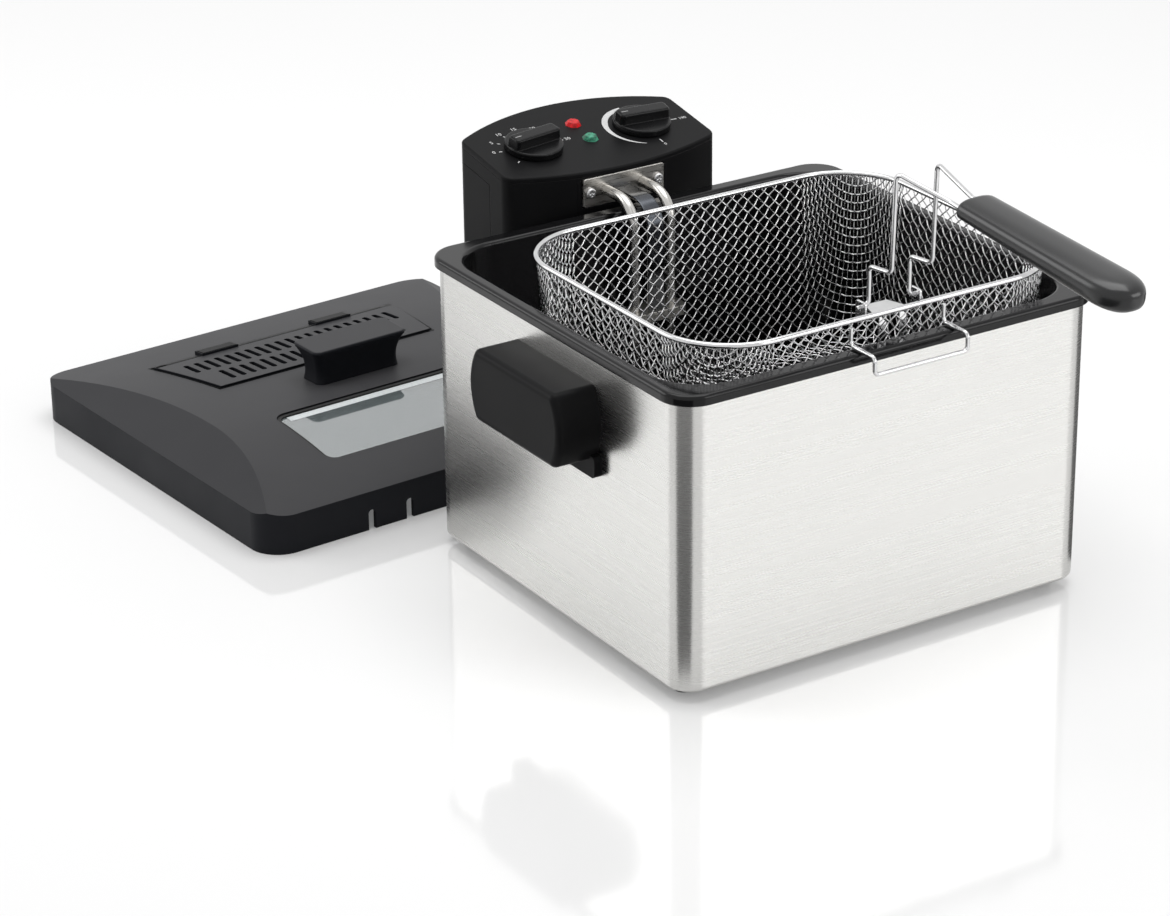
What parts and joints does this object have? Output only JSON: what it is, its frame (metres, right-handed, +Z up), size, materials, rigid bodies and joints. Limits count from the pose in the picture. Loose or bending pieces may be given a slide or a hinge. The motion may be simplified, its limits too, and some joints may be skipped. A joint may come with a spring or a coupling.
{
  "type": "deep fryer",
  "caption": "Countertop deep fryer: steel housing, lift-out oil pot, plug-in control head with immersed element, wire basket with folding handle, and a windowed lid lying beside it.",
  "frame": {"origin": "middle of the housing's footprint, on the surface that the feet rest on", "axes": "+X to the right of someone facing the front, front towards -Y, +Z up"},
  "size_m": [0.4246, 0.7765, 0.2861],
  "materials": {
    "housing_steel": "brushed stainless sheet",
    "black_plastic": "satin moulded black",
    "grip_plastic": "satin moulded black",
    "lid_plastic": "fine grained dark grey",
    "knob_plastic": "black",
    "black_enamel": "glossy black coating",
    "chrome_wire": "plated wire",
    "plate_steel": "stainless sheet",
    "tube_steel": "drawn stainless tube",
    "zinc_steel": "zinc plated",
    "rubber": "matt black",
    "glass": "clear tempered",
    "white_plastic": "moulded",
    "red_plastic": "moulded",
    "red_lens": "clear red",
    "green_lens": "clear green",
    "brass": "bare",
    "filter_felt": "carbon felt"
  },
  "bodies": {
    "base": {"housing_shell": "housing_steel", "base_pan": "black_plastic", "feet": "rubber", "foot_screws": "zinc_steel", "side_handle_left": "black_plastic", "side_handle_right": "black_plastic", "side_handle_screws": "zinc_steel", "rear_guide": "black_plastic", "rear_guide_screws": "zinc_steel"},
    "pot": {"oil_pot": "black_enamel"},
    "head": {"head_shell": "black_plastic", "head_back_cover": "black_plastic", "head_top_panel": "black_plastic", "head_screws": "zinc_steel", "element_plate": "plate_steel", "plate_screws": "zinc_steel", "heating_element": "tube_steel", "element_clip": "plate_steel", "thermostat_probe": "tube_steel", "probe_guard": "plate_steel", "timer_body": "white_plastic", "thermostat_body": "white_plastic", "power_lamp_lens": "red_lens", "ready_lamp_lens": "green_lens", "lamp_holders": "white_plastic", "terminal_block": "white_plastic", "inlet_socket": "black_plastic", "inlet_pins": "brass", "safety_switch": "black_plastic"},
    "timer": {"timer_knob": "knob_plastic", "timer_shaft": "zinc_steel"},
    "thermostat": {"thermostat_knob": "knob_plastic", "thermostat_shaft": "zinc_steel"},
    "reset": {"reset_button": "red_plastic"},
    "basket": {"basket_mesh": "chrome_wire", "basket_rim_wire": "chrome_wire", "basket_hook": "chrome_wire", "handle_bracket": "chrome_wire"},
    "basket_handle": {"handle_wires": "chrome_wire", "handle_grip": "grip_plastic"},
    "lid": {"lid_shell": "lid_plastic", "lid_window": "glass", "window_gasket": "rubber", "lid_handle": "lid_plastic", "lid_handle_screws": "zinc_steel", "filter_tray": "lid_plastic", "filter_mat": "filter_felt"},
    "filter_door": {"filter_cover": "lid_plastic"}
  },
  "joints": [
    {"name": "pot_lift", "type": "slide", "parent": "base", "child": "pot", "axis": [0, 0, 1], "range_m": [0, 0.2]},
    {"name": "head_lift", "type": "slide", "parent": "pot", "child": "head", "axis": [0, 0, 1], "range_m": [0, 0.2]},
    {"name": "basket_lift", "type": "slide", "parent": "head", "child": "basket", "axis": [0, 0, 1], "range_m": [0, 0.2]},
    {"name": "handle_fold", "type": "hinge", "parent": "basket", "child": "basket_handle", "pos_m": [0.007, -0.1155, 0.202], "axis": [1, 0, 0], "range_deg": [-150, 0]},
    {"name": "timer_turn", "type": "hinge", "parent": "head", "child": "timer", "pos_m": [-0.0387, 0.17961, 0.2136], "axis": [0, -0.1702, 0.9854], "range_deg": [-172, 60]},
    {"name": "thermostat_turn", "type": "hinge", "parent": "head", "child": "thermostat", "pos_m": [0.0387, 0.17961, 0.2136], "axis": [0, -0.1702, 0.9854], "range_deg": [-155, 110]},
    {"name": "reset_press", "type": "slide", "parent": "head", "child": "reset", "axis": [0, -1, 0], "range_m": [0, 0.0015], "stiffness_N_per_m": 400},
    {"name": "lid_lift", "type": "slide", "parent": "base", "child": "lid", "axis": [0, 0.7071, 0.7071], "range_m": [0, 0.25]},
    {"name": "filter_cover_open", "type": "hinge", "parent": "lid", "child": "filter_door", "pos_m": [-0.10728, 0.40479, 0.03221], "axis": [-0.9979, -0.0654, 0], "range_deg": [0, 75]}
  ]
}
